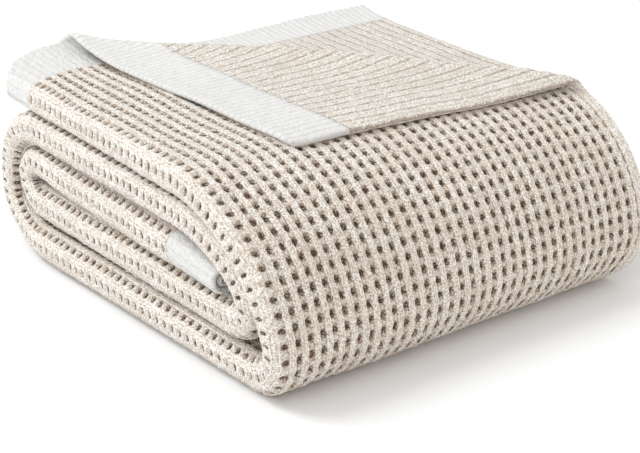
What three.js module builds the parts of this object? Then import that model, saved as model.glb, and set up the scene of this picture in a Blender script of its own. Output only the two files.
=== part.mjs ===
// Chenille throw blanket, knitted in one piece and folded up for storage.
//
// The throw is folded in quarters across its width, which makes a strip four cloth layers
// thick. The strip is then turned over and over into a flattened spiral five strips high.
// One corner of the uppermost cloth layer is turned back on the diagonal.
//
// Millimetres, +Z up. The strip's rounded folds face -Y and the smooth turn faces +X.
// A place in the strip is (station, across, depth): a station of the spiral, a distance
// from the rounded fold, and a height from the strip's middle towards the outside.

import * as THREE from 'three';

// The throw laid out flat.
const THROW_WIDTH = 1270;
const THROW_LENGTH = 1646;
const CLOTH_THICKNESS = 4.2;

// The folded strip, seen along its length.
const FOLD_EDGE_Y = -166;
const CREASE_INSET = 2;
const FLAT_DIVISIONS = 4;
const OUTER_FOLD_STEPS = 6;
const INNER_FOLD_STEPS = 3;

// The five strip layers, from the outer end of the throw to its inner end. "start" and "end"
// are places along X in the order the strip runs; the inner end is worked out from the length.
// "slide" is how far the layer lies from square across the stack, and "spread" how much wider
// than the folded throw its loose edges lie. Each list runs evenly from "start" to "end".
const LAYERS = [
  {
    start: -169, end: 80, slide: [0, 0], spread: [0, 7],
    height: [120.5, 117], thickness: [22, 21],
  },
  {
    start: 142, end: -108, slide: [0, -14], spread: [-28, -4],
    height: [13, 13], thickness: [26, 26],
  },
  {
    start: -108, end: 76, slide: [-1, 1], spread: [-4, -6],
    height: [96, 94], thickness: [24, 22],
  },
  {
    start: 118, end: -114, slide: [2, -5], spread: [-6, -5],
    height: [40.5, 40.5], thickness: [26, 26],
  },
  {
    start: -112, end: null, slide: [-2, 0], spread: [-5, -8],
    height: [71, 68, 67.8, 67.7, 67.4, 62.8], thickness: [21, 27, 27.6, 27.2, 26, 17],
  },
];
const FLAT_STATIONS = 6;

// The turns between one layer and the next. "reach" is the outside of the turn along X,
// "breast" the height where it reaches furthest, and "flare" the extra spread of its edges.
const TURNS = [
  { side: 1, reach: 180, breast: 40, thickness: 17.4, flare: 7, steps: 13 },
  { side: -1, reach: -169.5, breast: 42, thickness: 22, flare: 0, steps: 11 },
  { side: 1, reach: 155.5, breast: 55, thickness: 17.4, flare: 0, steps: 9 },
  { side: -1, reach: -140, breast: 55, thickness: 18, flare: 0, steps: 8 },
];

// Soft swells (and hollows, below zero) in the top of the stack.
const STACK_HEIGHT = 131;
const SWELLS = [
  { x: -170, y: 30, wideX: 70, wideY: 70, height: -6 },
  { x: -20, y: -60, wideX: 90, wideY: 60, height: 2 },
  { x: 60, y: 90, wideX: 70, wideY: 60, height: -2 },
];

// The stack leans: its lower layers lie further along X and Y than its top. Along the folded
// edges the turns at the far end reach a little further out.
const LEAN_X = 12;
const LEAN_Y = 8;
const LEAN_POWER = 1.6;
const EDGE_REACH = 2;
const EDGE_REACH_START = 150;
const EDGE_REACH_WIDTH = 70;

// The outer end is drawn in where the strip's fold is tight, and its loose edges spread.
const END_DRAW = 28;
const END_DRAW_WIDTH = 20;
const END_SPREAD = 27;
const END_SPREAD_LENGTH = 70;

// The turned-back corner: where its fold leaves the outer end, how far along the strip the
// fold meets the loose edge, and the roll of the fold.
const CORNER_FOLD_START = 46;
const CORNER_FOLD_LENGTH = 285;
const CORNER_SKEW = 0.2;
const CORNER_GATHER = 0.92;
const CORNER_ROLL_RADIUS = 4.5;
const CORNER_END_ROLL = 3.0;
const CORNER_FULL_ROLL = 3.0;
const CORNER_LIFT = 8;
const CORNER_LIFT_LENGTH = 35;
const CORNER_LIFT_WIDTH = 38;
const CORNER_REST_GAP = 1.2;
const CORNER_SETTLE_LENGTH = 26;
const CORNER_POINT_RADIUS = 11;
const CORNER_ROLL_STEPS = 6;
const CORNER_FLAT_STEPS = 5;
const CORNER_POINT_STEPS = 3;

const CLOTH_COLOUR = 0xe3dacb;
const CLOTH_ROUGHNESS = 0.95;

const mix = (a, b, t) => a + (b - a) * t;

// The value at t, from 0 to 1, of a list that is spread evenly.
function mixList(list, t) {
  const place = t * (list.length - 1);
  const i = Math.min(Math.floor(place), list.length - 2);
  return mix(list[i], list[i + 1], place - i);
}

// ---- The spiral, seen from the side: a list of stations from the outer end inwards ----

function makeStation(x, z, tangentX, tangentZ, thickness, slide, spread) {
  const length = Math.hypot(tangentX, tangentZ);
  const outward = { x: -tangentZ / length, z: tangentX / length };
  return { x, z, outward, thickness, slide, spread, draw: 0 };
}

function flatStations(layer, end) {
  const run = end - layer.start;
  const rise = layer.height.at(-1) - layer.height[0];
  const stations = [];
  for (let i = 0; i <= FLAT_STATIONS; i += 1) {
    const t = i / FLAT_STATIONS;
    const x = mix(layer.start, end, t);
    const z = mixList(layer.height, t);
    const slide = mixList(layer.slide, t);
    const spread = mixList(layer.spread, t);
    const thickness = mixList(layer.thickness, t);
    stations.push(makeStation(x, z, run, rise, thickness, slide, spread));
  }
  return stations;
}

// A turn is two quarter ellipses that meet where it reaches furthest.
function turnStations(turn, from, to) {
  const stations = [];
  const direction = from.height.at(-1) > to.height[0] ? -1 : 1;
  const reach = turn.reach - turn.side * turn.thickness / 2;
  for (let i = 1; i < turn.steps; i += 1) {
    const angle = direction * mix(-Math.PI / 2, Math.PI / 2, i / turn.steps);
    const leaving = i < turn.steps / 2;
    const centreX = leaving ? from.end : to.start;
    const flatThickness = leaving ? from.thickness.at(-1) : to.thickness[0];
    const flatHeight = leaving ? from.height.at(-1) : to.height[0];
    const radiusX = Math.abs(reach - centreX);
    const radiusZ = Math.abs(flatHeight - turn.breast);
    const x = centreX + turn.side * radiusX * Math.cos(angle);
    const z = turn.breast + radiusZ * Math.sin(angle);
    const tangentX = -turn.side * radiusX * Math.sin(angle) * direction;
    const tangentZ = radiusZ * Math.cos(angle) * direction;
    const thickness = mix(flatThickness, turn.thickness, Math.cos(angle) ** 2);
    const slide = mix(from.slide.at(-1), to.slide[0], i / turn.steps);
    const flare = turn.flare * Math.cos(angle);
    const spread = mix(from.spread.at(-1), to.spread[0], i / turn.steps) + flare;
    stations.push(makeStation(x, z, tangentX, tangentZ, thickness, slide, spread));
  }
  return stations;
}

function addLengths(stations) {
  let length = 0;
  stations.forEach((station, i) => {
    if (i > 0) {
      const before = stations[i - 1];
      length += Math.hypot(station.x - before.x, station.z - before.z);
    }
    station.length = length;
  });
  return length;
}

function spiralStations() {
  const stations = [];
  LAYERS.forEach((layer, i) => {
    if (i > 0) {
      stations.push(...turnStations(TURNS[i - 1], LAYERS[i - 1], layer));
    }
    if (layer.end !== null) {
      stations.push(...flatStations(layer, layer.end));
    }
  });
  const inner = LAYERS[LAYERS.length - 1];
  const innerStart = { x: inner.start, z: inner.height[0] };
  const used = addLengths([...stations, innerStart]);
  stations.push(...flatStations(inner, inner.start + THROW_LENGTH - used));
  addLengths(stations);
  stations[0].draw = END_DRAW;
  stations.forEach((station) => {
    station.spread += END_SPREAD * Math.exp(-station.length / END_SPREAD_LENGTH);
  });
  return stations;
}

// ---- The quarter fold, seen along the strip ----
// Each point is the middle of the cloth: where it lies across and in depth, and the direction
// of the cloth's face side there.

function foldArc(centreAcross, centreDepth, radius, side, faceOut, steps) {
  const points = [];
  for (let i = 1; i < steps; i += 1) {
    const angle = mix(Math.PI / 2, -Math.PI / 2, i / steps);
    const outAcross = side * Math.cos(angle);
    const outDepth = Math.sin(angle);
    points.push({
      across: centreAcross + radius * outAcross,
      depth: centreDepth + radius * outDepth,
      faceAcross: faceOut * outAcross,
      faceDepth: faceOut * outDepth,
    });
  }
  return points;
}

function flatRun(from, to, depth, faceDepth) {
  const points = [];
  for (let i = 0; i <= FLAT_DIVISIONS; i += 1) {
    points.push({ across: mix(from, to, i / FLAT_DIVISIONS), depth, faceAcross: 0, faceDepth });
  }
  return points;
}

// Everything about the quarter fold that follows from the strip's thickness.
function foldSizes({ thickness, spread }) {
  const outermost = (thickness - CLOTH_THICKNESS) / 2;
  const spacing = (thickness - CLOTH_THICKNESS) / 3;
  const bendCentre = thickness / 2;
  const creaseRadius = spacing / 2;
  const creaseInset = creaseRadius + CLOTH_THICKNESS / 2 + CREASE_INSET;
  const bends = Math.PI * (outermost + (outermost - spacing) + creaseRadius);
  const looseEdge = spread + bendCentre + (THROW_WIDTH - bends + 2 * creaseInset) / 4;
  return {
    depths: [outermost, outermost - spacing, spacing - outermost, -outermost],
    bendCentre,
    creaseRadius,
    creaseCentre: looseEdge - spread / 2 - creaseInset,
    looseEdge,
  };
}

function liftByCorner(station, point) {
  const lift = cornerLift(station.length, point.across);
  return { ...point, depth: point.depth + lift };
}

// From the loose edge of the uppermost layer, round both folds and the crease, to the loose
// edge of the layer under it.
function quarterFold(station, uppermostEdge) {
  const { depths, bendCentre, creaseRadius, creaseCentre, looseEdge } = foldSizes(station);
  const [first, second, third, fourth] = depths;
  const creaseDepth = (third + fourth) / 2;
  return [
    ...flatRun(uppermostEdge, bendCentre, first, 1).map((point) => liftByCorner(station, point)),
    ...foldArc(bendCentre, 0, first, -1, 1, OUTER_FOLD_STEPS),
    ...flatRun(bendCentre, creaseCentre, fourth, -1),
    ...foldArc(creaseCentre, creaseDepth, creaseRadius, 1, 1, INNER_FOLD_STEPS).reverse(),
    ...flatRun(creaseCentre, bendCentre, third, 1),
    ...foldArc(bendCentre, 0, second, -1, -1, INNER_FOLD_STEPS).reverse(),
    ...flatRun(bendCentre, looseEdge, second, -1),
  ];
}

// ---- From the strip to the folded throw ----

function lean(point) {
  const share = Math.max(1 - point.z / STACK_HEIGHT, 0) ** LEAN_POWER;
  const alongX = Math.min(Math.max(point.x / EDGE_REACH_START, 0), 1) ** 2;
  const fromEdge = point.y - FOLD_EDGE_Y;
  point.x += LEAN_X * share + EDGE_REACH * alongX * Math.exp(-fromEdge / EDGE_REACH_WIDTH);
  point.y += LEAN_Y * share;
  return point;
}

// The stack isn't quite even: its swells and hollows grow from nothing at the floor.
function settle(point) {
  const rise = (point.z / STACK_HEIGHT) ** 2;
  SWELLS.forEach((swell) => {
    const offX = (point.x - swell.x) / swell.wideX;
    const offY = (point.y - swell.y) / swell.wideY;
    point.z += rise * swell.height * Math.exp(-(offX ** 2) - offY ** 2);
  });
  return point;
}

function placeInSpiral(station, across, depth) {
  const drawn = station.draw * Math.exp(-across / END_DRAW_WIDTH);
  const x = station.x + drawn + depth * station.outward.x;
  const y = FOLD_EDGE_Y + station.slide + across;
  const z = station.z + depth * station.outward.z;
  return lean(settle(new THREE.Vector3(x, y, z)));
}

function stationAt(stations, length) {
  const last = stations.length - 2;
  let i = 0;
  while (i < last && stations[i + 1].length < length) {
    i += 1;
  }
  const a = stations[i];
  const b = stations[i + 1];
  const t = (length - a.length) / (b.length - a.length);
  return {
    x: mix(a.x, b.x, t),
    z: mix(a.z, b.z, t),
    outward: { x: mix(a.outward.x, b.outward.x, t), z: mix(a.outward.z, b.outward.z, t) },
    thickness: mix(a.thickness, b.thickness, t),
    slide: mix(a.slide, b.slide, t),
    draw: mix(a.draw, b.draw, t),
    spread: mix(a.spread, b.spread, t),
  };
}

// A cloth is a list of nodes, each a point on its face and a point on its back, and triangles
// between the nodes. Closing it adds the wall round every free edge.
function closeCloth(nodes, triangles) {
  const positions = [];
  nodes.forEach((node) => positions.push(node.face.x, node.face.y, node.face.z));
  nodes.forEach((node) => positions.push(node.back.x, node.back.y, node.back.z));
  const behind = nodes.length;
  const indices = [];
  const openEdges = new Map();
  triangles.forEach(([a, b, c]) => {
    indices.push(a, b, c, behind + a, behind + c, behind + b);
    [[a, b], [b, c], [c, a]].forEach(([from, to]) => {
      if (!openEdges.delete(`${to},${from}`)) {
        openEdges.set(`${from},${to}`, [from, to]);
      }
    });
  });
  openEdges.forEach(([from, to]) => {
    indices.push(to, from, behind + from, to, behind + from, behind + to);
  });
  const geometry = new THREE.BufferGeometry();
  geometry.setAttribute('position', new THREE.Float32BufferAttribute(positions, 3));
  geometry.setIndex(indices);
  geometry.computeVertexNormals();
  return geometry;
}

function addGrid(triangles, rows) {
  for (let j = 0; j + 1 < rows.length; j += 1) {
    for (let k = 0; k + 1 < rows[j].length; k += 1) {
      const a = rows[j][k];
      const b = rows[j + 1][k];
      const c = rows[j + 1][k + 1];
      const d = rows[j][k + 1];
      triangles.push([a, c, b], [a, d, c]);
    }
  }
}

// ---- The turned-back corner ----

// The line that the corner is folded on, from the outer end to the loose edge, as places
// (length along the strip, across).
function cornerFoldLine(stations) {
  let last = 1;
  while (stations[last].length < CORNER_FOLD_LENGTH) {
    last += 1;
  }
  const start = { length: 0, across: CORNER_FOLD_START };
  const end = { length: stations[last].length, across: foldSizes(stations[last]).looseEdge };
  const run = Math.hypot(end.length - start.length, end.across - start.across);
  const along = { length: (end.length - start.length) / run, across: (end.across - start.across) / run };
  const beyond = { length: -along.across, across: along.length };
  return { last, start, end, run, along, beyond };
}

function uppermostEdgeAt(line, stations, j) {
  if (j > line.last) {
    return foldSizes(stations[j]).looseEdge;
  }
  const t = stations[j].length / line.end.length;
  return mix(line.start.across, line.end.across, t);
}

// The turned corner pulls the end of the uppermost layer up where the fold starts.
function cornerLift(length, across) {
  const offLine = (across - CORNER_FOLD_START) / CORNER_LIFT_WIDTH;
  return CORNER_LIFT * Math.exp(-Math.max(length, 0) / CORNER_LIFT_LENGTH - offLine ** 2);
}

// How far past the fold line, and how high over the uppermost layer, the cloth of the corner
// lies at a distance from the fold line, and the direction of its face there.
function cornerProfile(distance, radius) {
  const rest = CLOTH_THICKNESS + CORNER_REST_GAP;
  if (distance < Math.PI * radius) {
    const angle = distance / radius;
    return {
      past: radius * Math.sin(angle),
      lift: radius * (1 - Math.cos(angle)),
      facePast: -Math.sin(angle),
      faceLift: Math.cos(angle),
    };
  }
  const laid = (distance - Math.PI * radius) * CORNER_GATHER;
  const fall = (2 * radius - rest) * Math.exp(-laid / CORNER_SETTLE_LENGTH);
  const slope = -fall / CORNER_SETTLE_LENGTH;
  const steep = Math.hypot(1, slope);
  return { past: -laid, lift: rest + fall, facePast: -slope / steep, faceLift: -1 / steep };
}

// Rows of the corner from its fold line to its rounded point. Each has its distance from the
// fold line and the part of the fold line's run that it spans.
function cornerRows(line) {
  const cut = { length: -line.start.length, across: line.end.across - line.start.across };
  const pointAlong = cut.length * line.along.length + cut.across * line.along.across;
  const pointBeyond = cut.length * line.beyond.length + cut.across * line.beyond.across;
  const rows = [];
  const addRow = (distance) => {
    const t = distance / pointBeyond;
    rows.push({ distance, from: mix(0, pointAlong, t), to: mix(line.run, pointAlong, t) });
  };
  const rollLength = Math.PI * CORNER_ROLL_RADIUS;
  for (let i = 0; i < CORNER_ROLL_STEPS; i += 1) {
    addRow(rollLength * i / CORNER_ROLL_STEPS);
  }
  const roundingStart = pointBeyond - CORNER_POINT_RADIUS / Math.SQRT2;
  for (let i = 0; i <= CORNER_FLAT_STEPS; i += 1) {
    addRow(mix(rollLength, roundingStart, i / CORNER_FLAT_STEPS));
  }
  const centre = pointBeyond - CORNER_POINT_RADIUS * Math.SQRT2;
  for (let i = 1; i <= CORNER_POINT_STEPS; i += 1) {
    const angle = Math.PI / 4 * (1 - i / (CORNER_POINT_STEPS + 1));
    const distance = centre + CORNER_POINT_RADIUS * Math.cos(angle);
    const halfWidth = CORNER_POINT_RADIUS * Math.sin(angle);
    rows.push({ distance, from: pointAlong - halfWidth, to: pointAlong + halfWidth });
  }
  return rows;
}

function cornerNode(line, stations, along, distance) {
  const endRoll = CORNER_END_ROLL * Math.exp(-along / CORNER_LIFT_LENGTH);
  const fullRoll = CORNER_FULL_ROLL * Math.sin(Math.PI * Math.min(along / line.run, 1));
  const profile = cornerProfile(distance, CORNER_ROLL_RADIUS + endRoll + fullRoll);
  const place = (side) => {
    const past = profile.past + side * profile.facePast;
    const slipped = along - CORNER_SKEW * Math.min(profile.past, 0);
    const length = line.start.length + slipped * line.along.length + past * line.beyond.length;
    const across = line.start.across + slipped * line.along.across + past * line.beyond.across;
    const station = stationAt(stations, length);
    const lift = cornerLift(length, across) + profile.lift + side * profile.faceLift;
    return placeInSpiral(station, across, foldSizes(station).depths[0] + lift);
  };
  return { face: place(CLOTH_THICKNESS / 2), back: place(-CLOTH_THICKNESS / 2) };
}

function foldedThrow() {
  const stations = spiralStations();
  const line = cornerFoldLine(stations);
  const nodes = [];
  const triangles = [];
  const addNode = (node) => nodes.push(node) - 1;

  const sections = stations.map((station, j) => {
    const section = quarterFold(station, uppermostEdgeAt(line, stations, j));
    return section.map((point) => {
      const place = (side) => placeInSpiral(
        station,
        point.across + side * point.faceAcross,
        point.depth + side * point.faceDepth,
      );
      return addNode({ face: place(CLOTH_THICKNESS / 2), back: place(-CLOTH_THICKNESS / 2) });
    });
  });
  addGrid(triangles, sections);

  const foldLineNodes = sections.slice(0, line.last + 1).map((section) => section[0]);
  const corner = cornerRows(line).map((row, i) => foldLineNodes.map((node, j) => {
    if (i === 0) {
      return node;
    }
    const t = stations[j].length / line.end.length;
    return addNode(cornerNode(line, stations, mix(row.from, row.to, t), row.distance));
  }));
  addGrid(triangles, corner);
  return closeCloth(nodes, triangles);
}

const cloth = new THREE.MeshStandardMaterial({
  color: CLOTH_COLOUR,
  roughness: CLOTH_ROUGHNESS,
  metalness: 0,
});

// The origin is on the floor under the middle of the folded throw.
const folded = foldedThrow();
folded.computeBoundingBox();
const middle = folded.boundingBox.getCenter(new THREE.Vector3());
folded.translate(-middle.x, -middle.y, 0);

const throwBlanket = new THREE.Mesh(folded, cloth);
throwBlanket.name = 'folded_throw';

const part = new THREE.Group();
part.add(throwBlanket);

export default part;
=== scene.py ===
"""A chenille throw blanket, folded: the knit, its lights and its camera.

The throw is one knitted cloth, folded in quarters across its width and then turned over and
over along its length. Every point of the cloth has a place in the knit, (wale, row), and the
functions below carry it to its place in the folded throw. Lengths are in millimetres until
the mesh is made, which is in metres.
"""

import math

import bpy
import numpy as np
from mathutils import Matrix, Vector

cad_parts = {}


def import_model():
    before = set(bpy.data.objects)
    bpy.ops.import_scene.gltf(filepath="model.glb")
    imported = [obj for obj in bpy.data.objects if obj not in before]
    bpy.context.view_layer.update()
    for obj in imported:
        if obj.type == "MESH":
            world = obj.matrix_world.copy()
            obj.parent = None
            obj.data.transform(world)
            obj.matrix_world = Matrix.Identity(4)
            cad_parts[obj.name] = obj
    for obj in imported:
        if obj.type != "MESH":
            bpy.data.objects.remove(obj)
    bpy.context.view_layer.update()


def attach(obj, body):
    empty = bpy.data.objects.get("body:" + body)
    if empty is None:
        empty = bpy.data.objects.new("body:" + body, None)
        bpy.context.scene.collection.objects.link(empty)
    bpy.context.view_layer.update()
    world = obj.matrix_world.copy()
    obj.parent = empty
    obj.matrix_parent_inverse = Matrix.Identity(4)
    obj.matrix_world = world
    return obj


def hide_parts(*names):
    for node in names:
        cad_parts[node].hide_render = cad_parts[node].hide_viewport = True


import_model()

MM = 0.001

# ---- The cloth and its folds ----
# The strip and its layers have the CAD part's sizes. The turned-back corner's differ a little.

THROW_WIDTH = 1270.0
THROW_LENGTH = 1646.0
CLOTH_THICKNESS = 4.2

FOLD_EDGE_Y = -166.0
CREASE_INSET = 2.0

# Where the middle of the CAD part's box lies in the frame of the sizes below.
MIDDLE_X = 9.955
MIDDLE_Y = 4.138

# The strip's layers, from the uppermost to the innermost. Each runs from its start to its end in
# X at the given heights of its middle. On its way it slides and spreads in Y. The innermost one
# ends where the throw's length is used up.
LAYERS = [
    dict(start=-169, end=80, slide=(0, 0), spread=(0, 7),
         height=(120.5, 117), thickness=(22, 21)),
    dict(start=142, end=-108, slide=(0, -14), spread=(-28, -4),
         height=(13, 13), thickness=(26, 26)),
    dict(start=-108, end=76, slide=(-1, 1), spread=(-4, -6),
         height=(96, 94), thickness=(24, 22)),
    dict(start=118, end=-114, slide=(2, -5), spread=(-6, -5),
         height=(40.5, 40.5), thickness=(26, 26)),
    dict(start=-112, end=None, slide=(-2, 0), spread=(-5, -8),
         height=(71, 68, 67.8, 67.7, 67.4, 62.8), thickness=(21, 27, 27.6, 27.2, 26, 17)),
]
# The turns from each layer to the next: the X that they reach, the height at which they reach
# it, the strip's thickness there, and how far its loose edges flare.
TURNS = [
    dict(side=1, reach=180, breast=40, thickness=17.4, flare=7),
    dict(side=-1, reach=-169.5, breast=42, thickness=22, flare=0),
    dict(side=1, reach=155.5, breast=55, thickness=17.4, flare=0),
    dict(side=-1, reach=-140, breast=55, thickness=18, flare=0),
]
FLAT_STATIONS = 24
TURN_STATIONS = 60
LEAD_IN = 30.0     # how far the spiral's table goes on past the throw's outer end

# Soft swells and dips, fullest at the top of the stack.
STACK_HEIGHT = 131.0
SWELLS = [
    dict(x=-170, y=30, wide_x=70, wide_y=70, height=-6),
    dict(x=-20, y=-60, wide_x=90, wide_y=60, height=2),
    dict(x=60, y=90, wide_x=70, wide_y=60, height=-2),
]

# The lower layers lie further along +X and +Y, and the +X end reaches further at the front.
LEAN_X = 12.0
LEAN_Y = 8.0
LEAN_POWER = 1.6
EDGE_REACH = 2.0
EDGE_REACH_START = 150.0
EDGE_REACH_WIDTH = 70.0

# The outer end is drawn in along X near the outer fold, and spreads in Y.
END_DRAW = 28.0
END_DRAW_WIDTH = 20.0
END_DRAW_LENGTH = 220.0
END_SPREAD = 27.0
END_SPREAD_LENGTH = 70.0

# The corner that is turned back over the top. Its fold line runs from a place across the outer
# end to a length along the loose edge.
CORNER_FOLD_START = 46.0
CORNER_FOLD_LENGTH = 291.0
CORNER_SKEW = 0.14
CORNER_GATHER = 0.93
CORNER_ROLL_RADIUS = 4.5
CORNER_END_ROLL = 3.0
CORNER_FULL_ROLL = 3.0
CORNER_LIFT = 8.0
CORNER_LIFT_LENGTH = 35.0
CORNER_LIFT_WIDTH = 38.0
CORNER_REST_GAP = 1.2
CORNER_SETTLE_LENGTH = 26.0
CORNER_POINT_RADIUS = 11.0

# ---- The knit ----
# Wales are counted across the throw, from the uppermost loose edge, round the outer fold, the
# crease and the inner fold, to the loose edge under it. Rows are counted along the throw.
# The wales lie wider where the cloth is stretched round the outer fold, which is a little
# squarer than a round bend.

WALES_AT_FOLDS = (0, 35, 72, 107, 142)
WALES = 142
FOLD_STRETCH = 0.1
FOLD_SAG = 0.14     # wales that a row of holes lies above the outer fold's apex
FOLD_FULLNESS = 2.3
ROWS = 198
BAND_ROWS = 6
ROW_LENGTH = THROW_LENGTH / ROWS
WALE_WIDTH = THROW_WIDTH / WALES
OUTER_FOLD, CREASE, INNER_FOLD = WALES_AT_FOLDS[1:4]
BLOCK = 2           # wales and rows in a block, the unit in which the mesh's detail is chosen
FINEST = 16         # the most divisions of a block


def mix(a, b, t):
    return a + (b - a) * t


def mix_list(values, t):
    """The value at t, from 0 to 1, of a list that is spread evenly."""
    return float(np.interp(t, np.linspace(0, 1, len(values)), values))


# ---- The spiral, seen from the side ----

def station(x, z, tangent_x, tangent_z, thickness, slide, spread):
    """A point of the spiral: its place, its outward direction and the strip's section there."""
    length = math.hypot(tangent_x, tangent_z)
    return (x, z, -tangent_z / length, tangent_x / length, thickness, slide, spread)


def flat_stations(layer, end):
    found = []
    for i in range(FLAT_STATIONS + 1):
        t = i / FLAT_STATIONS
        section = [mix_list(layer[name], t) for name in ("thickness", "slide", "spread")]
        found.append(station(
            mix(layer["start"], end, t), mix_list(layer["height"], t),
            end - layer["start"], layer["height"][-1] - layer["height"][0], *section))
    return found


def turn_stations(turn, start, to):
    """A turn out of one layer and into the next, as two quarters of an ellipse."""
    found = []
    direction = -1 if start["height"][-1] > to["height"][0] else 1
    reach = turn["reach"] - turn["side"] * turn["thickness"] / 2
    for i in range(1, TURN_STATIONS):
        t = i / TURN_STATIONS
        angle = direction * mix(-math.pi / 2, math.pi / 2, t)
        leaving = t < 0.5
        centre_x = start["end"] if leaving else to["start"]
        flat_thickness = start["thickness"][-1] if leaving else to["thickness"][0]
        flat_height = start["height"][-1] if leaving else to["height"][0]
        radius_x = abs(reach - centre_x)
        radius_z = abs(flat_height - turn["breast"])
        found.append(station(
            centre_x + turn["side"] * radius_x * math.cos(angle),
            turn["breast"] + radius_z * math.sin(angle),
            -turn["side"] * radius_x * math.sin(angle) * direction,
            radius_z * math.cos(angle) * direction,
            mix(flat_thickness, turn["thickness"], math.cos(angle) ** 2),
            mix(start["slide"][-1], to["slide"][0], t),
            mix(start["spread"][-1], to["spread"][0], t) + turn["flare"] * math.cos(angle)))
    return found


def lengths_along(stations):
    points = np.array(stations)[:, :2]
    steps = np.linalg.norm(np.diff(points, axis=0), axis=1)
    return np.concatenate([[0], np.cumsum(steps)])


def spiral():
    """Columns: length, x, z, outward x, outward z, thickness, slide, spread."""
    stations = []
    for i, layer in enumerate(LAYERS[:-1]):
        stations += flat_stations(layer, layer["end"])
        stations += turn_stations(TURNS[i], layer, LAYERS[i + 1])
    inner = LAYERS[-1]
    first = (inner["start"], inner["height"][0])
    used = lengths_along(stations)[-1] + math.dist(stations[-1][:2], first)
    stations += flat_stations(inner, inner["start"] + THROW_LENGTH - used)
    before = list(stations[0])
    before[0] -= LEAD_IN
    before[1] += LEAD_IN * (stations[0][1] - stations[1][1]) / (stations[1][0] - stations[0][0])
    stations.insert(0, tuple(before))
    table = np.array(stations)
    length = lengths_along(stations)
    length -= length[1]
    table[:, 6] += END_SPREAD * np.exp(-np.maximum(length, 0) / END_SPREAD_LENGTH)
    return np.column_stack([length, table])


SPIRAL = spiral()
COLUMNS = dict(x=1, z=2, out_x=3, out_z=4, thickness=5, slide=6, spread=7)


def along_spiral(name, length):
    return np.interp(length, SPIRAL[:, 0], SPIRAL[:, COLUMNS[name]])


# ---- The quarter fold, seen along the strip ----

def fold_sizes(length):
    thickness = along_spiral("thickness", length)
    spread = along_spiral("spread", length)
    outermost = (thickness - CLOTH_THICKNESS) / 2
    spacing = (thickness - CLOTH_THICKNESS) / 3
    bend = thickness / 2
    crease = spacing / 2
    inset = crease + CLOTH_THICKNESS / 2 + CREASE_INSET
    bends = math.pi * (outermost + (outermost - spacing) + crease)
    loose = spread + bend + (THROW_WIDTH - bends + 2 * inset) / 4
    return dict(outermost=outermost, second=outermost - spacing, bend=bend, crease=crease,
                loose=loose, crease_centre=loose - spread / 2 - inset)


def uppermost_edge(length):
    """The loose edge of the uppermost layer keeps straight where its corner is turned back."""
    return fold_sizes(np.maximum(length, CORNER_FOLD_LENGTH))["loose"]


def bend_then_flat(s, radius, flat_from, flat_to, fullness=2.0):
    """(across, depth) at a distance s from a fold's apex: a quarter turn, then the flat.

    The turn is a quarter circle at a fullness of 2, and squarer above it.
    """
    turned = np.minimum(s / radius, math.pi / 2)
    flat = np.maximum(s - radius * math.pi / 2, 0)
    direction = np.sign(flat_to - flat_from)
    cos, sin = np.clip(np.cos(turned), 0, 1), np.clip(np.sin(turned), 0, 1)
    reach = radius * (cos ** fullness + sin ** fullness) ** (-1 / fullness)
    return flat_from + direction * (flat - reach * cos), reach * sin


def from_outer_fold(wales, all_wales, whole):
    """Millimetres from the outer fold's apex, at so many wales from it."""
    def stretched(n):
        return n + FOLD_STRETCH * np.tanh(n)
    return stretched(wales) / stretched(all_wales) * whole


def quarter_fold(length, wale):
    """(across, depth) of the middle of the cloth.

    From the uppermost loose edge these are layer a1, the outer fold, layer a2, the crease, layer
    b2, the inner fold and layer b1.
    """
    f = fold_sizes(length)
    edge = uppermost_edge(length)
    crease_depth = (-f["second"] - f["outermost"]) / 2
    half = math.pi / 2
    at = list(WALES_AT_FOLDS)
    at[1] = at[1] + FOLD_SAG * along_spiral("out_z", length)

    long_a1 = half * f["outermost"] + edge - f["bend"]
    s = from_outer_fold(np.maximum(at[1] - wale, 0), at[1] - at[0], long_a1)
    a1 = bend_then_flat(s, f["outermost"], f["bend"], edge, FOLD_FULLNESS)

    long_a2 = half * f["outermost"] + f["crease_centre"] - f["bend"] + half * f["crease"]
    s = from_outer_fold(np.maximum(wale - at[1], 0), at[2] - at[1], long_a2)
    from_crease = long_a2 - s
    near_fold = bend_then_flat(s, f["outermost"], f["bend"], f["crease_centre"], FOLD_FULLNESS)
    near_crease = bend_then_flat(from_crease, f["crease"], f["crease_centre"], f["bend"])
    in_crease = from_crease < half * f["crease"]
    a2 = (np.where(in_crease, near_crease[0], near_fold[0]),
          np.where(in_crease, crease_depth - near_crease[1], -near_fold[1]))

    long_b2 = half * f["crease"] + f["crease_centre"] - f["bend"] + half * f["second"]
    s = (wale - at[2]) / (at[3] - at[2]) * long_b2
    from_fold = long_b2 - s
    near_crease = bend_then_flat(s, f["crease"], f["crease_centre"], f["bend"])
    near_fold = bend_then_flat(from_fold, f["second"], f["bend"], f["crease_centre"])
    in_fold = from_fold < half * f["second"]
    b2 = (np.where(in_fold, near_fold[0], near_crease[0]),
          np.where(in_fold, -near_fold[1], crease_depth + near_crease[1]))

    long_b1 = half * f["second"] + f["loose"] - f["bend"]
    s = (wale - at[3]) / (at[4] - at[3]) * long_b1
    b1 = bend_then_flat(s, f["second"], f["bend"], f["loose"])

    part = [wale <= at[1], wale <= at[2], wale <= at[3]]
    across = np.select(part, [a1[0], a2[0], b2[0]], b1[0])
    depth = np.select(part, [a1[1], a2[1], b2[1]], b1[1])
    return across, depth


# ---- The turned-back corner ----

def corner_frame():
    """The directions along the fold line and past it, the loose edge, and the line's length."""
    end = float(uppermost_edge(0.0))
    run = math.hypot(CORNER_FOLD_LENGTH, end - CORNER_FOLD_START)
    along = (CORNER_FOLD_LENGTH / run, (end - CORNER_FOLD_START) / run)
    return along, (-along[1], along[0]), end, run


ALONG, BEYOND, CORNER_EDGE, CORNER_RUN = corner_frame()


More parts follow.
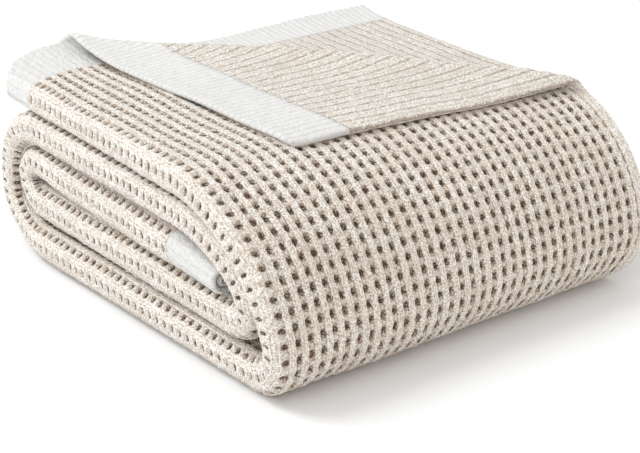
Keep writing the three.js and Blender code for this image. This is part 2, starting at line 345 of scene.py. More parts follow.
def round_point(length, across):
    """The square corner of the cloth drawn in to a rounded point."""
    r = CORNER_POINT_RADIUS
    x = np.clip((r - length) / r, 0, 1)
    y = np.clip((across - (CORNER_EDGE - r)) / r, 0, 1)
    inside = (length < r) & (across > CORNER_EDGE - r)
    return (np.where(inside, r - r * x * np.sqrt(1 - y * y / 2), length),
            np.where(inside, CORNER_EDGE - r + r * y * np.sqrt(1 - x * x / 2), across))


def corner_lift(length, across):
    """How far the outer end of the fold line stands up."""
    off_line = (across - CORNER_FOLD_START) / CORNER_LIFT_WIDTH
    return CORNER_LIFT * np.exp(-np.maximum(length, 0) / CORNER_LIFT_LENGTH - off_line ** 2)


def turn_back(length, across):
    """Where a point of the uppermost layer comes to lie: (length, across, lift)."""
    length, across = round_point(length, across)
    off = across - CORNER_FOLD_START
    along = length * ALONG[0] + off * ALONG[1]
    distance = length * BEYOND[0] + off * BEYOND[1]
    end_roll = CORNER_END_ROLL * np.exp(-np.maximum(along, 0) / CORNER_LIFT_LENGTH)
    full_roll = CORNER_FULL_ROLL * np.sin(math.pi * np.clip(along / CORNER_RUN, 0, 1))
    radius = CORNER_ROLL_RADIUS + end_roll + full_roll
    rest = CLOTH_THICKNESS + CORNER_REST_GAP
    angle = np.clip(distance / radius, 0, math.pi)
    laid = np.maximum(distance - math.pi * radius, 0) * CORNER_GATHER
    rolled = distance < math.pi * radius
    past = np.where(rolled, radius * np.sin(angle), -laid)
    fall = (2 * radius - rest) * np.exp(-laid / CORNER_SETTLE_LENGTH)
    lift = np.where(rolled, radius * (1 - np.cos(angle)), rest + fall)
    slipped = along - CORNER_SKEW * np.minimum(past, 0)
    turned = distance > 0
    new_length = np.where(turned, slipped * ALONG[0] + past * BEYOND[0], length)
    new_across = np.where(turned, CORNER_FOLD_START + slipped * ALONG[1] + past * BEYOND[1], across)
    new_lift = corner_lift(new_length, new_across) + np.where(turned, lift, 0)
    return new_length, new_across, new_lift


# ---- From the knit to the folded throw ----

def swelled(x, y, z):
    """The height of a point once the stack swells and sinks."""
    rise = (z / STACK_HEIGHT) ** 2
    for swell in SWELLS:
        off_x = (x - swell["x"]) / swell["wide_x"]
        off_y = (y - swell["y"]) / swell["wide_y"]
        z = z + rise * swell["height"] * np.exp(-off_x ** 2 - off_y ** 2)
    return z


def leant(x, y, z):
    """The (x, y) of a point once the stack leans."""
    leaning = np.maximum(1 - z / STACK_HEIGHT, 0) ** LEAN_POWER
    turned = np.clip(x / EDGE_REACH_START, 0, 1) ** 2
    reaching = turned * np.exp(-(y - FOLD_EDGE_Y) / EDGE_REACH_WIDTH)
    return x + LEAN_X * leaning + EDGE_REACH * reaching, y + LEAN_Y * leaning


def place(wale, row):
    """The middle of the cloth, as an array of points."""
    length = row * ROW_LENGTH
    across, depth = quarter_fold(length, wale)
    uppermost = (wale < OUTER_FOLD) & (across > fold_sizes(length)["bend"])
    up_length, up_across, lift = turn_back(length, across)
    new_length = np.where(uppermost, up_length, length)
    across = np.where(uppermost, up_across, across)
    depth = np.where(uppermost, fold_sizes(new_length)["outermost"] + lift, depth)
    draw = END_DRAW * np.clip(1 - new_length / END_DRAW_LENGTH, 0, 1) ** 2
    x = (along_spiral("x", new_length) + draw * np.exp(-across / END_DRAW_WIDTH)
         + depth * along_spiral("out_x", new_length))
    y = FOLD_EDGE_Y + along_spiral("slide", new_length) + across
    z = along_spiral("z", new_length) + depth * along_spiral("out_z", new_length)
    z = swelled(x, y, z)
    x, y = leant(x, y, z)
    return np.stack([x - MIDDLE_X, y - MIDDLE_Y, z], axis=-1)


NORMAL_STEP = 0.15


def face_normals(wale, row):
    """The way the face looks, from places a small step apart in the knit."""
    low, high = np.maximum(wale - NORMAL_STEP, 0), np.minimum(wale + NORMAL_STEP, WALES)
    across = place(high, row) - place(low, row)
    low, high = np.maximum(row - NORMAL_STEP, 0), np.minimum(row + NORMAL_STEP, ROWS)
    along = place(wale, high) - place(wale, low)
    normal = np.cross(across, along)
    return normal / np.maximum(np.linalg.norm(normal, axis=-1, keepdims=True), 1e-9)


# ---- The relief of the knit, in (wale, row) ----

HALF_BASE = 1.5           # from the middle of the cloth to the rungs between its holes
RIDGE_HEIGHT = 1.1
RIDGE_WIDTH = 0.27        # half of a ridge's flat top, in wales
RIDGE_FALL = 0.13         # the slope beside it
RUNG_HEIGHT = 0.85
HOLE_DEPTH = 1.05
HOLE_WIDTH = 0.22         # half of a hole across, in wales, and along, in rows
HOLE_LENGTH = 0.25
FOLD_HOLE_WIDTH = 0.25    # the same where the cloth is stretched round the outer fold
FOLD_HOLE_LENGTH = 0.16
FOLD_REACH = 1.2
FOLD_RUNG = 0.8           # how much further the rungs rise there
RIB_WALES = 1.0           # the spacing of the ribs on the reverse, and on the bands
BAND_RIB_WALES = 0.61
RIB_HEIGHT = 0.5
FINE_RIB_HEIGHT = 0.2
REVERSE_HEIGHT = 0.3      # the mean height of the reverse
RIM_ROUNDING = 2.6
SELVEDGE_HEIGHT = 0.9
SELVEDGE_WALES = 1.0
ROUGH_HEIGHT = 0.3
PILE_SHARE = 1.1
LUMP_HEIGHT = 0.6
WAVER_WALES = 0.10        # how far the knit's lines wander, across and along
WAVER_ROWS = 0.14


def smooth(value):
    t = np.clip(value, 0, 1)
    return t * t * (3 - 2 * t)


def from_edge(wale, row):
    """Millimetres to the nearest selvedge, and to the nearest end of the throw."""
    return (np.minimum(wale, WALES - wale) * WALE_WIDTH,
            np.minimum(row, ROWS - row) * ROW_LENGTH)


def rim(wale, row):
    """Takes the cloth's thickness round to nothing at its free edges."""
    beside, end = (np.clip(e / RIM_ROUNDING, 0, 1) for e in from_edge(wale, row))
    return np.sqrt((1 - (1 - beside) ** 2) * (1 - (1 - end) ** 2))


def selvedge(wale):
    """1 on the plain border along each selvedge, 0 on the waffle."""
    inside = np.minimum(wale, WALES - wale)
    return 1 - smooth((inside - 0.7 * SELVEDGE_WALES) / (0.5 * SELVEDGE_WALES))


def band(row):
    return np.minimum(row, ROWS - row) < BAND_ROWS


def round_fold(wale):
    """1 where the cloth is stretched round the outer fold, 0 away from it."""
    return smooth(1.4 - np.abs(wale - OUTER_FOLD) / FOLD_REACH)


def hollow(wale, row):
    """1 in the middle of a hole of the waffle, 0 outside the holes."""
    fold = round_fold(wale)
    half_wale = mix(HOLE_WIDTH, FOLD_HOLE_WIDTH, fold)
    half_row = mix(HOLE_LENGTH, FOLD_HOLE_LENGTH, fold)
    off_wale = np.abs(wale - np.round(wale)) / half_wale
    off_row = np.abs(row % 1 - 0.5) / half_row
    return smooth((1.4 - np.hypot(off_wale, off_row)) / 0.9) * (1 - selvedge(wale))


def face_relief(wale, row, noise):
    from_ridge = np.abs(wale % 1 - 0.5)
    ridge = smooth((RIDGE_WIDTH + RIDGE_FALL - from_ridge) / RIDGE_FALL)
    rung = (np.cos(2 * math.pi * row) + FOLD_RUNG * round_fold(wale)) * (1 - ridge)
    waffle = RIDGE_HEIGHT * ridge + RUNG_HEIGHT * rung - HOLE_DEPTH * hollow(wale, row)
    plain = 0.5 * RIDGE_HEIGHT + 0.6 * FINE_RIB_HEIGHT * np.cos(2 * math.pi * wale / BAND_RIB_WALES)
    relief = np.where(band(row), plain, waffle)
    return mix(relief, SELVEDGE_HEIGHT, selvedge(wale)) + ROUGH_HEIGHT * noise


def back_relief(wale, row, noise):
    rib = RIB_HEIGHT * (np.abs(np.sin(math.pi * wale / RIB_WALES)) - 0.5)
    fine = FINE_RIB_HEIGHT * np.cos(2 * math.pi * wale / BAND_RIB_WALES)
    ribs = np.where(band(row), fine, rib)
    return mix(REVERSE_HEIGHT + ribs, SELVEDGE_HEIGHT, selvedge(wale)) + ROUGH_HEIGHT * noise


# ---- The unevenness of the cloth and its pile ----

rng = np.random.default_rng(7)
NOISE_WALES = 150         # the noise covers a little more than the cloth
NOISE_ROWS = 204
NOISE_BORDER = 4


def noise_field(wales, rows):
    """Soft noise from -1 to 1 whose lumps are so many wales and rows apart."""
    across = int(NOISE_WALES / wales) + NOISE_BORDER
    along = int(NOISE_ROWS / rows) + NOISE_BORDER
    grid = rng.uniform(-1, 1, (across, along))

    def field(wale, row):
        a, b = wale / wales + 1, row / rows + 1
        i, j = np.floor(a).astype(int), np.floor(b).astype(int)
        s, t = smooth(a - i), smooth(b - j)
        return (grid[i, j] * (1 - s) * (1 - t) + grid[i + 1, j] * s * (1 - t)
                + grid[i, j + 1] * (1 - s) * t + grid[i + 1, j + 1] * s * t)
    return field


WAVER_ACROSS = noise_field(4, 5)
WAVER_ALONG = noise_field(3, 4)
ROUGHNESS = noise_field(0.5, 0.5)
LUMPS = noise_field(5, 7)
PILE = noise_field(0.125, 0.125)


# ---- The mesh of the cloth ----
# The cloth is divided into blocks. Each block of its face and of its back has its own number
# of divisions across and along, so that the knit is fine where it shows and plain where it
# is folded away. A division's edge takes every point of the finer block beside it.

BLOCKS_ACROSS = WALES // BLOCK
BLOCKS_ALONG = ROWS // BLOCK
POINTS_ALONG = BLOCKS_ALONG * FINEST + 1
POINTS = (BLOCKS_ACROSS * FINEST + 1) * POINTS_ALONG
FACE, BACK, CUT = 0, 1, 2

FIRST_TURN_END = 53       # rows along the throw
SECOND_TURN_START = 81
SECOND_TURN_END = 97

# Millimetres round the turned-back corner within which the knit is made fine.
ROLL_MIDDLE = 8.0
ROLL_MARGIN = 26.0
CORNER_MARGIN = 20.0
LANDING_MARGIN = 5.0
EXPOSED_MARGIN = 40.0

# Each piece of the cloth: its name, its first and last block along the throw, and its material.
PIECES = [
    ("outer_band", 0, 3, "chenille_band"),
    ("top", 3, 15, "chenille"),
    ("front_turn", 15, 27, "chenille"),
    ("underside", 27, 50, "chenille"),
    ("inner_turns", 50, 96, "chenille"),
    ("inner_band", 96, 99, "chenille_band"),
]


def block_middles():
    wale = (np.arange(BLOCKS_ACROSS)[:, None] + 0.5) * BLOCK + np.zeros((1, BLOCKS_ALONG))
    row = (np.arange(BLOCKS_ALONG)[None, :] + 0.5) * BLOCK + np.zeros((BLOCKS_ACROSS, 1))
    return wale, row


def spread_by_one(mask):
    padded = np.pad(mask, 1)
    width, length = mask.shape
    return np.any([padded[i:i + width, j:j + length] for i in range(3) for j in range(3)], axis=0)


def past_fold_line(wale, row):
    """Millimetres past the line that the corner is folded on, by place in the quarter fold."""
    length = row * ROW_LENGTH
    across, _ = quarter_fold(length, wale)
    return length * BEYOND[0] + (across - CORNER_FOLD_START) * BEYOND[1]


def under_flap(wale, row):
    """The blocks of the uppermost layer that the turned-back corner hides."""
    uppermost = wale < OUTER_FOLD
    turned = uppermost & (past_fold_line(wale, row) > 0)
    across, _ = quarter_fold(row * ROW_LENGTH, wale)
    length, across, _ = turn_back(row[turned] * ROW_LENGTH, across[turned])
    landed_wale = OUTER_FOLD - (across + LANDING_MARGIN) / WALE_WIDTH
    hit = np.zeros(wale.shape, bool)
    i = np.clip(landed_wale / BLOCK, 0, BLOCKS_ACROSS - 1).astype(int)
    j = np.clip(length / ROW_LENGTH / BLOCK, 0, BLOCKS_ALONG - 1).astype(int)
    hit[i, j] = True
    hit = spread_by_one(hit)
    return ~spread_by_one(spread_by_one(~hit)) & uppermost & (row > BAND_ROWS)


def detail():
    """Divisions (across, along) of every block, for the face and for the back."""
    wale, row = block_middles()
    levels = np.ones((2, BLOCKS_ACROSS, BLOCKS_ALONG, 2), int)
    levels[..., 1] = 2

    def refine(side, where, across, along):
        levels[side, where, 0] = np.maximum(levels[side, where, 0], across)
        levels[side, where, 1] = np.maximum(levels[side, where, 1], along)

    uppermost = wale < OUTER_FOLD
    past = past_fold_line(wale, row)
    length = row * ROW_LENGTH
    round_corner = length < CORNER_FOLD_LENGTH + CORNER_MARGIN
    near_line = uppermost & (np.abs(past - ROLL_MIDDLE) < ROLL_MARGIN) & round_corner
    flap = uppermost & (past > 0) & (length < CORNER_FOLD_LENGTH)
    shown = uppermost & (row < FIRST_TURN_END) & (past < ROLL_MARGIN) & ~under_flap(wale, row)
    exposed = (wale > INNER_FOLD) & (past > -EXPOSED_MARGIN) & round_corner
    # On both sides: the selvedges, the folds, the ends and the line of the turned-back corner.
    for side in (FACE, BACK):
        refine(side, (wale < BLOCK) | (wale > WALES - BLOCK), 16, 4)
        refine(side, (np.abs(wale - CREASE) < 4) | (np.abs(wale - INNER_FOLD) < 3), 8, 2)
        refine(side, np.abs(wale - OUTER_FOLD) < 5, 8, 2)
        refine(side, row < BLOCK, 8, 16)
        refine(side, row > ROWS - BLOCK, 2, 8)
        refine(side, near_line, 8, 8)
        refine(side, (wale < 3) & (row < 5), 16, 16)
    # The face where it shows, and the reverse where the corner bares it.
    refine(FACE, np.abs(wale - OUTER_FOLD) < 4, 16, 16)
    refine(FACE, shown, 16, 16)
    refine(FACE, near_line, 16, 16)
    refine(FACE, np.abs(wale - CREASE) < 2, 8, 4)
    refine(FACE, uppermost & (row > SECOND_TURN_START) & (row < SECOND_TURN_END), 8, 8)
    refine(BACK, flap, 16, 4)
    refine(BACK, exposed, 16, 4)
    return levels


LEVELS = detail()


def edge_levels(side, i, j):
    """Divisions along a block's four edges: low wale, high wale, low row, high row."""
    def finer(di, dj, axis):
        inside = 0 <= i + di < BLOCKS_ACROSS and 0 <= j + dj < BLOCKS_ALONG
        other = LEVELS[side, i + di, j + dj] if inside else LEVELS[1 - side, i, j]
        return max(LEVELS[side, i, j, axis], other[axis])
    return finer(-1, 0, 1), finer(1, 0, 1), finer(0, -1, 0), finer(0, 1, 0)


def key(side, wale_point, row_point):
    """One number for each point of the lattice. Face and back share the points on free edges."""
    free = ((wale_point == 0) | (wale_point == BLOCKS_ACROSS * FINEST)
            | (row_point == 0) | (row_point == BLOCKS_ALONG * FINEST))
    return np.where(free, 0, side) * POINTS + wale_point * POINTS_ALONG + row_point


def steps(start, step, level, on_edge):
    """Lattice points from one corner of a cell up to the next, as fine as a block beside it."""
    return range(start, start + step, FINEST // level if on_edge else step)


def block_polygons(side, i, j):
    """Polygons of one block, as arrays of keys: its whole cells, and those with extra points."""
    across, along = LEVELS[side, i, j]
    low_wale, high_wale, low_row, high_row = edge_levels(side, i, j)
    step_w, step_r = FINEST // across, FINEST // along
    w0 = (i * FINEST + np.arange(across) * step_w)[:, None] + np.zeros((1, along), int)
    r0 = (j * FINEST + np.arange(along) * step_r)[None, :] + np.zeros((across, 1), int)
    odd = np.zeros((across, along), bool)
    odd[0, :] |= low_wale > along
    odd[-1, :] |= high_wale > along
    odd[:, 0] |= low_row > across
    odd[:, -1] |= high_row > across
    w, r = w0[~odd], r0[~odd]
    corners = [(w, r), (w + step_w, r), (w + step_w, r + step_r), (w, r + step_r)]
    quads = np.stack([key(side, a, b) for a, b in corners], axis=1)
    more = []
    for a, b in zip(*np.nonzero(odd)):
        w, r = int(w0[a, b]), int(r0[a, b])
        top_w, top_r = w + step_w, r + step_r
        points = [(p, r) for p in steps(w, step_w, low_row, b == 0)]
        points += [(top_w, p) for p in steps(r, step_r, high_wale, a == across - 1)]
        points += [(w + top_w - p, top_r) for p in steps(w, step_w, high_row, b == along - 1)]
        points += [(w, r + top_r - p) for p in steps(r, step_r, low_wale, a == 0)]
        points = np.array(points)
        more.append(key(side, points[:, 0], points[:, 1]))
    return quads, more


def cut_polygon(i, row_block, facing):
    """The wall that closes a piece where the cloth goes on into the next one."""
    row_point = row_block * FINEST
    j = row_block if facing < 0 else row_block - 1
    line = []
    for side in (FACE, BACK):
        _, _, low_row, high_row = edge_levels(side, i, j)
        level = low_row if facing < 0 else high_row
        points = i * FINEST + np.arange(level + 1) * (FINEST // level)
        line.append(key(side, points, np.full(level + 1, row_point)))
    keys = np.concatenate([line[FACE][::facing], line[BACK][::-facing]])
    return keys[keys != np.roll(keys, 1)]


def polygons_of(first, last):
    """All the polygons of a piece, each with its surface: the face, the back or a cut."""
    polygons, surfaces = [], []
    for side, order in ((FACE, 1), (BACK, -1)):
        for i in range(BLOCKS_ACROSS):
            for j in range(first, last):
                quads, more = block_polygons(side, i, j)
                for found in [quads] + [polygon[None, :] for polygon in more]:
                    polygons.append(found[:, ::order])
                    surfaces.append(np.full(len(found), side))
    cuts = [(first, -1)] if first > 0 else []
    if last < BLOCKS_ALONG:
        cuts.append((last, 1))
    for row_block, facing in cuts:
        for i in range(BLOCKS_ACROSS):
            polygons.append(cut_polygon(i, row_block, facing)[None, :])
            surfaces.append(np.array([CUT]))
    return polygons, np.concatenate(surfaces)


def cloth_points(keys):
    """Places and knit coordinates of the lattice points with these keys."""
    side, rest = keys // POINTS, keys % POINTS
    wale = (rest // POINTS_ALONG) / FINEST * BLOCK
    row = (rest % POINTS_ALONG) / FINEST * BLOCK
    # The knit's lines wander, but not at the free edges, so that they stay in the cloth.
    fade = rim(wale, row)
    knit_wale = wale + WAVER_WALES * WAVER_ACROSS(wale, row) * fade
    knit_row = row + WAVER_ROWS * WAVER_ALONG(wale, row) * fade
    middle = place(wale, row)
    normal = face_normals(wale, row)
    rough = ROUGHNESS(wale, row) + PILE_SHARE * PILE(wale, row)
    face = HALF_BASE + face_relief(knit_wale, knit_row, rough)
    back = HALF_BASE + back_relief(knit_wale, knit_row, rough)
    offset = np.where(side == FACE, face, -back) * fade
    lump = LUMP_HEIGHT * LUMPS(wale, row)
    points = (middle + normal * (offset + lump)[:, None]) * MM
    points[:, 2] = np.maximum(points[:, 2], 0.0)
    return points, np.stack([knit_wale, knit_row], axis=1)


def cloth_piece(name, first, last, materials):
    """A stretch of the cloth as an object, with the knit's coordinates as its UV map."""
    polygons, surfaces = polygons_of(first, last)
    sizes = np.concatenate([np.full(len(p), p.shape[1]) for p in polygons])
    corner_keys = np.concatenate([p.ravel() for p in polygons])
    keys, corners = np.unique(corner_keys, return_inverse=True)
    points, knit = cloth_points(keys)
    mesh = bpy.data.meshes.new(name)
    mesh.vertices.add(len(points))
    mesh.vertices.foreach_set("co", points.ravel())
    mesh.loops.add(len(corners))
    mesh.loops.foreach_set("vertex_index", corners.ravel())
    mesh.polygons.add(len(sizes))
    mesh.polygons.foreach_set("loop_start", np.concatenate([[0], np.cumsum(sizes)[:-1]]))
    mesh.polygons.foreach_set("use_smooth", surfaces != CUT)
    mesh.polygons.foreach_set("material_index", np.where(surfaces == BACK, BACK, FACE))
    uv = mesh.uv_layers.new(name="knit")
    uv.uv.foreach_set("vector", knit[corners].ravel())
    mesh.update(calc_edges=True)
    for material in materials:
        mesh.materials.append(material)
    piece = bpy.data.objects.new(name, mesh)
    bpy.context.scene.collection.objects.link(piece)
    return piece


# ---- Materials ----

class Nodes:
    """Makes a material's nodes. Every input is a number, a colour or another node's output."""

    def __init__(self, name):
        self.material = bpy.data.materials.new(name)
        self.material.use_nodes = True
        self.tree = self.material.node_tree
        self.shader = self.tree.nodes["Principled BSDF"]

    def make(self, kind, settings=None, **inputs):
        node = self.tree.nodes.new(kind)
        for name, value in (settings or {}).items():
            setattr(node, name, value)
        for name, value in inputs.items():
            self.set(node, name.replace("_", " "), value)
        return node

    def set(self, node, name, value):
        socket = node.inputs[name]
        if isinstance(value, bpy.types.NodeSocket):
            self.tree.links.new(value, socket)
        else:
            socket.default_value = value

    def math(self, operation, *values):
        node = self.make("ShaderNodeMath", dict(operation=operation))
        for i, value in enumerate(values):
            self.set(node, i, value)
        return node.outputs[0]

    def ramp(self, value, low, high, to_low=0.0, to_high=1.0):
        node = self.make("ShaderNodeMapRange", dict(interpolation_type="SMOOTHSTEP"))
        for name, given in (("Value", value), ("From Min", low), ("From Max", high),
                            ("To Min", to_low), ("To Max", to_high)):
            self.set(node, name, given)
        return node.outputs["Result"]

    def mix(self, factor, a, b):
        node = self.make("ShaderNodeMix", dict(data_type="RGBA"))
        self.set(node, 0, factor)
        self.set(node, 6, a)
        self.set(node, 7, b)
        return node.outputs[2]

    def noise(self, place, scale, detail=2.0):
        node = self.make("ShaderNodeTexNoise", Scale=scale, Detail=detail)
        self.set(node, "Vector", place)
        return node.outputs[0]


def colour(red, green, blue):
    """A colour given as sRGB from 0 to 255."""
    def linear(c):
        c /= 255
        return c / 12.92 if c <= 0.04045 else ((c + 0.055) / 1.055) ** 2.4
    return (linear(red), linear(green), linear(blue), 1.0)


PILE_SCALE = 850.0
BREAK_SCALE = 420.0
PATCH_SCALE = 45.0
FINE_SCALE = 900.0
BUMP_HEIGHT = 0.0011      # metres
BUMP_GROOVES = 0.35
GROOVE_SHARE = 0.4
PATCH_SHARE = 0.2
PLIES = 6 * math.pi       # three slanting plies to a row
PLY_SLANT = 5 * math.pi
BAND_STITCHES = 8 * math.pi    # four stitches to a row


def near(n, value, centre, half_width):
    """1 where a value is at the centre, falling to 0 on both sides of it."""
    off = n.math("ABSOLUTE", n.math("SUBTRACT", value, centre))
    return n.ramp(off, half_width, 0.0)


def fraction_from(n, value, centre):
    """How far the fractional part of a value is from a centre."""
    return n.math("ABSOLUTE", n.math("SUBTRACT", n.math("FRACT", value), centre))


def face_pattern(n, wale, row, broken, fine):
    """Outputs for the painted shade in the holes, the painted shade between the ridges, and the plies'
    grooves, which get painted shade too.
    """
    from_ridge = fraction_from(n, wale, 0.5)
    from_gap = n.math("SUBTRACT", 0.5, from_ridge)
    off_row = fraction_from(n, row, 0.5)
    to_fold = n.math("ABSOLUTE", n.math("SUBTRACT", wale, OUTER_FOLD))
    fold = n.ramp(to_fold, 1.4 * FOLD_REACH, 0.4 * FOLD_REACH)
    # The holes, as a mask for the painted shade in them; round the outer fold they have other sizes and
    # are less ragged.
    half_wale = n.math("MULTIPLY_ADD", fold, FOLD_HOLE_WIDTH - HOLE_WIDTH, HOLE_WIDTH)
    half_row = n.math("MULTIPLY_ADD", fold, FOLD_HOLE_LENGTH - HOLE_LENGTH, HOLE_LENGTH)
    a, b = n.math("DIVIDE", from_gap, half_wale), n.math("DIVIDE", off_row, half_row)
    reach = n.math("SQRT", n.math("ADD", n.math("MULTIPLY", a, a), n.math("MULTIPLY", b, b)))
    raggedness = n.math("MULTIPLY_ADD", fold, -1.0, 1.5)
    ragged = n.math("MULTIPLY", n.math("SUBTRACT", broken, 0.5), raggedness)
    hole = n.ramp(n.math("ADD", reach, ragged), 1.25, 0.7)
    half = WALES / 2
    inside = n.math("SUBTRACT", half, n.math("ABSOLUTE", n.math("SUBTRACT", wale, half)))
    waffle = n.ramp(inside, 0.9, 1.1)
    # The ladder between the ridges gets painted shade, speckled at random, most beside the ridges and
    # near the holes, and less round the outer fold.
    ladder = n.ramp(n.math("ADD", from_ridge, n.math("MULTIPLY", ragged, 0.12)), 0.22, 0.32)
    beside = near(n, from_ridge, 0.3, 0.12)
    speckles = n.ramp(fine, 0.56, 0.44)
    near_hole = n.ramp(off_row, 0.5, 0.25)
    speckled_shade = n.math("MULTIPLY", speckles, n.math("MAXIMUM", beside, near_hole))
    shaded = n.math("ADD", speckled_shade, 0.25)
    unlit = n.math("MULTIPLY_ADD", fold, -0.75, 1.0)
    ladder = n.math("MULTIPLY", n.math("MULTIPLY", ladder, waffle), n.math("MULTIPLY", shaded, unlit))
    # Painted shade in the fine grooves between the plies along each ridge and between the slanting
    # plies of the rungs.
    plies = n.math("MULTIPLY", near(n, from_ridge, 0.1, 0.05), n.ramp(broken, 0.6, 0.4))
    slant = n.math("ADD", n.math("MULTIPLY", row, PLIES), n.math("MULTIPLY", wale, PLY_SLANT))
    twist = n.math("MULTIPLY", n.ramp(n.math("SINE", slant), 0.2, 1.0), ladder)
    return n.math("MULTIPLY", hole, waffle), ladder, n.math("MAXIMUM", plies, twist)


def reverse_pattern(n, wale, row, broken, fine):
    """The same for the reverse: broken lines of painted shade between its ribs and fainter ones on
    them, and faint painted shade crossing them along the rows.
    """
    rib = n.math("DIVIDE", wale, RIB_WALES)
    wavering = n.math("MULTIPLY_ADD", broken, 0.6, -0.3)
    to_line = n.math("ADD", fraction_from(n, n.math("ADD", rib, 0.5), 0.5), wavering)
    line = n.ramp(to_line, 0.15, 0.02)
    half_way = n.ramp(n.math("SUBTRACT", 0.5, to_line), 0.09, 0.0, 0.0, 0.5)
    crossing = n.ramp(n.math("SINE", n.math("MULTIPLY", row, PLIES)), 0.2, 1.0, 0.0, 0.5)
    # Painted shade along the lines between the ribs, broken at random.
    line_shade = n.math("MULTIPLY", line, n.ramp(broken, 0.42, 0.6))
    return line_shade, n.math("MAXIMUM", line, half_way), crossing


def band_pattern(n, wale, row, broken, fine):
    """The same for the bands: painted shade between fine plain ribs on both sides, and faint painted
    shade across them at the stitches.
    """
    to_line = fraction_from(n, n.math("DIVIDE", wale, BAND_RIB_WALES), 0.5)
    line = n.ramp(to_line, 0.3, 0.5)
    stitches = n.math("SINE", n.math("MULTIPLY", row, BAND_STITCHES))
    return 0.0, line, n.ramp(stitches, 0.2, 1.0, 0.0, 0.2)


def chenille(name, yarn, shade, groove_shade, deep_shade, pattern, hole_share, ladder_share):
    """A chenille knit: soft pile, with the waffle on its face or the ribs on its reverse, and painted
    shade in its holes and grooves.
    """
    n = Nodes(name)
    parts = n.make("ShaderNodeSeparateXYZ")
    n.set(parts, 0, n.make("ShaderNodeUVMap", dict(uv_map="knit")).outputs[0])
    place_in_scene = n.make("ShaderNodeTexCoord").outputs["Object"]
    pile = n.noise(place_in_scene, PILE_SCALE)
    broken = n.noise(place_in_scene, BREAK_SCALE)
    patches = n.noise(place_in_scene, PATCH_SCALE)
    fine = n.noise(place_in_scene, FINE_SCALE, 1.0)
    hole, ladder, grooves = pattern(n, parts.outputs[0], parts.outputs[1], broken, fine)
    made = n.mix(n.ramp(pile, 0.62, 0.38), yarn, shade)
    made = n.mix(n.ramp(patches, 0.4, 0.65, 0.0, PATCH_SHARE), made, shade)
    # Painted shade in the grooves and in the ladder between the ridges.
    made = n.mix(n.math("MULTIPLY", grooves, GROOVE_SHARE), made, groove_shade)
    made = n.mix(n.math("MULTIPLY", ladder, ladder_share), made, groove_shade)
    # Painted shade in the holes, or along the lines between the ribs, at half to all of its share by
    # fine noise.
    hole_shade = n.ramp(fine, 0.62, 0.5, 0.5 * hole_share, hole_share)
    made = n.mix(n.math("MULTIPLY", hole, hole_shade), made, deep_shade)
    n.set(n.shader, "Base Color", made)
    height = n.math("SUBTRACT", pile, n.math("MULTIPLY", grooves, BUMP_GROOVES))
    bump = n.make("ShaderNodeBump", Strength=1.0, Distance=BUMP_HEIGHT)
    n.set(bump, "Height", height)
    n.set(n.shader, "Normal", bump.outputs[0])
    n.shader.inputs["Roughness"].default_value = 0.95
    n.shader.inputs["Specular IOR Level"].default_value = 0.2
    n.shader.inputs["Sheen Weight"].default_value = 0.3
    n.shader.inputs["Sheen Roughness"].default_value = 0.5
    return n.material


# Each palette: the yarn, the shade of its pile, painted shade for the grooves, and deeper painted shade
# for the holes and the lines between the ribs.
FACE_BEIGE = dict(yarn=colour(251, 248, 244), shade=colour(203, 188, 171),
                  groove_shade=colour(156, 132, 108), deep_shade=colour(88, 66, 46))
REVERSE_BEIGE = dict(yarn=colour(246, 243, 238), shade=colour(194, 183, 169),
                     groove_shade=colour(150, 130, 110), deep_shade=colour(104, 84, 66))
WHITE = dict(yarn=colour(228, 227, 225), shade=colour(216, 214, 211),
             groove_shade=colour(200, 197, 193), deep_shade=colour(180, 176, 170))

finishes = {
    "chenille": [
        chenille("chenille face", pattern=face_pattern, hole_share=1.0, ladder_share=0.8, **FACE_BEIGE),
        chenille("chenille reverse", pattern=reverse_pattern, hole_share=0.9, ladder_share=0.6,
                 **REVERSE_BEIGE)],
    "chenille_band": [
        chenille("band face", pattern=band_pattern, hole_share=0.0, ladder_share=0.5, **WHITE),
        chenille("band reverse", pattern=band_pattern, hole_share=0.0, ladder_share=0.8, **WHITE)],
}

for name, first, last, slot in PIECES:
    piece = cloth_piece(name, first, last, finishes[slot])
    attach(piece, "root")
    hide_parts("folded_throw")


# ---- Floor, light and camera ----

FLOOR_SIZE = 12.0
FLOOR_GREY = 0.86
WORLD_STRENGTH = 0.92
LIT_POINT = Vector((0.0, 0.0, 0.07))


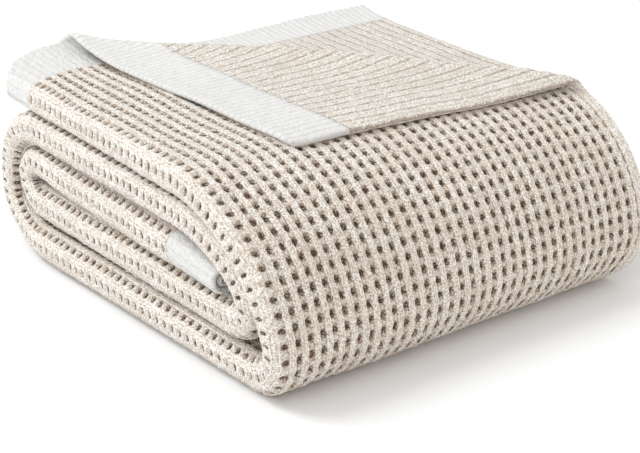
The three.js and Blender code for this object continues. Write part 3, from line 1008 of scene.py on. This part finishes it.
def floor():
    bpy.ops.mesh.primitive_plane_add(size=FLOOR_SIZE, location=(0, 0, 0))
    plane = bpy.context.object
    plane.name = "floor"
    n = Nodes("floor")
    n.shader.inputs["Base Color"].default_value = (FLOOR_GREY, FLOOR_GREY, FLOOR_GREY, 1.0)
    n.shader.inputs["Roughness"].default_value = 0.9
    n.shader.inputs["Specular IOR Level"].default_value = 0.1
    plane.data.materials.append(n.material)


def area_light(name, location, size, power, tint):
    data = bpy.data.lights.new(name, "AREA")
    data.shape = "DISK"
    data.size = size
    data.energy = power
    data.color = tint
    lamp = bpy.data.objects.new(name, data)
    lamp.location = location
    lamp.rotation_mode = "QUATERNION"
    lamp.rotation_quaternion = (LIT_POINT - Vector(location)).to_track_quat("-Z", "Y")
    bpy.context.scene.collection.objects.link(lamp)


CAMERA_PLACE = (0.7702, -0.5677, 0.4206)
CAMERA_AZIMUTH = math.radians(53.10)
CAMERA_ELEVATION = math.radians(22.42)
CAMERA_LENS = 79.54
CAMERA_SHIFT = (-0.0214, -0.0112)


def camera():
    data = bpy.data.cameras.new("camera")
    data.lens = CAMERA_LENS
    data.sensor_width = 36.0
    data.shift_x, data.shift_y = CAMERA_SHIFT
    data.clip_start = 0.05
    eye = bpy.data.objects.new("camera", data)
    back = Vector((math.sin(CAMERA_AZIMUTH) * math.cos(CAMERA_ELEVATION),
                   -math.cos(CAMERA_AZIMUTH) * math.cos(CAMERA_ELEVATION),
                   math.sin(CAMERA_ELEVATION)))
    eye.location = CAMERA_PLACE
    eye.rotation_mode = "QUATERNION"
    eye.rotation_quaternion = (-back).to_track_quat("-Z", "Y")
    bpy.context.scene.collection.objects.link(eye)
    bpy.context.scene.camera = eye


def world():
    made = bpy.data.worlds.new("studio")
    made.use_nodes = True
    background = made.node_tree.nodes["Background"]
    background.inputs["Color"].default_value = (1.0, 1.0, 1.0, 1.0)
    background.inputs["Strength"].default_value = WORLD_STRENGTH
    bpy.context.scene.world = made


floor()
world()
area_light("key", (-1.1, -1.4, 2.3), size=1.2, power=41.0, tint=(0.94, 0.98, 1.0))
area_light("fill", (-0.5, -2.6, 0.7), size=1.6, power=8.0, tint=(0.95, 0.98, 1.0))
area_light("warm", (2.6, 0.3, 0.7), size=1.6, power=6.0, tint=(1.0, 0.78, 0.55))
camera()
bpy.context.scene.view_settings.view_transform = "Standard"
